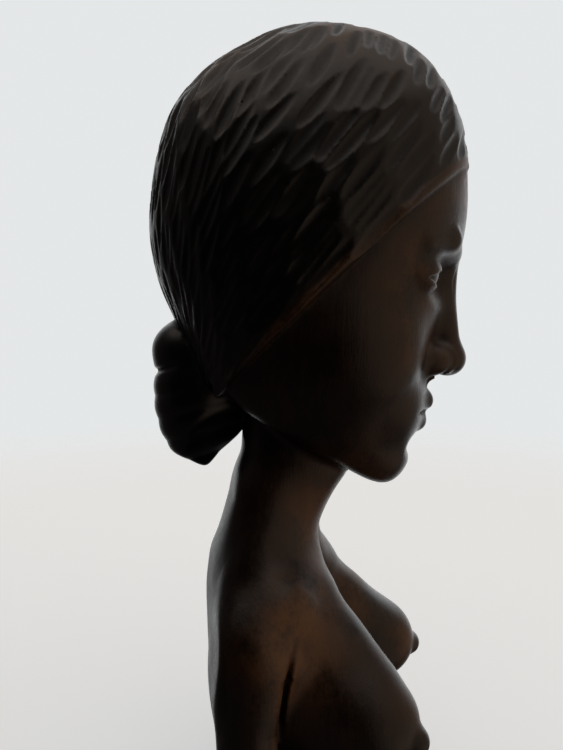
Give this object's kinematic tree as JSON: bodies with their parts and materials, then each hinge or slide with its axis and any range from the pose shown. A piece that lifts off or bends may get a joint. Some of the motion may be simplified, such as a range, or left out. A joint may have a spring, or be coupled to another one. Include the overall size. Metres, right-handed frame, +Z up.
{
  "type": "carved hardwood bust of a woman",
  "caption": "Carved hardwood bust of a woman with combed hair and a nape bun, cut flat below, standing on its underside as an ornament.",
  "frame": {"origin": "on the flat underside, below the middle of the figure's width, under the neck", "axes": "+Z up, the face looks to -Y, the figure's left side is at +X"},
  "size_m": [0.0694, 0.0811, 0.1995],
  "materials": {
    "dark_hardwood": "hand-rubbed, satin to semi-gloss"
  },
  "bodies": {
    "root": {"carved_figure": "dark_hardwood"}
  },
  "joints": []
}
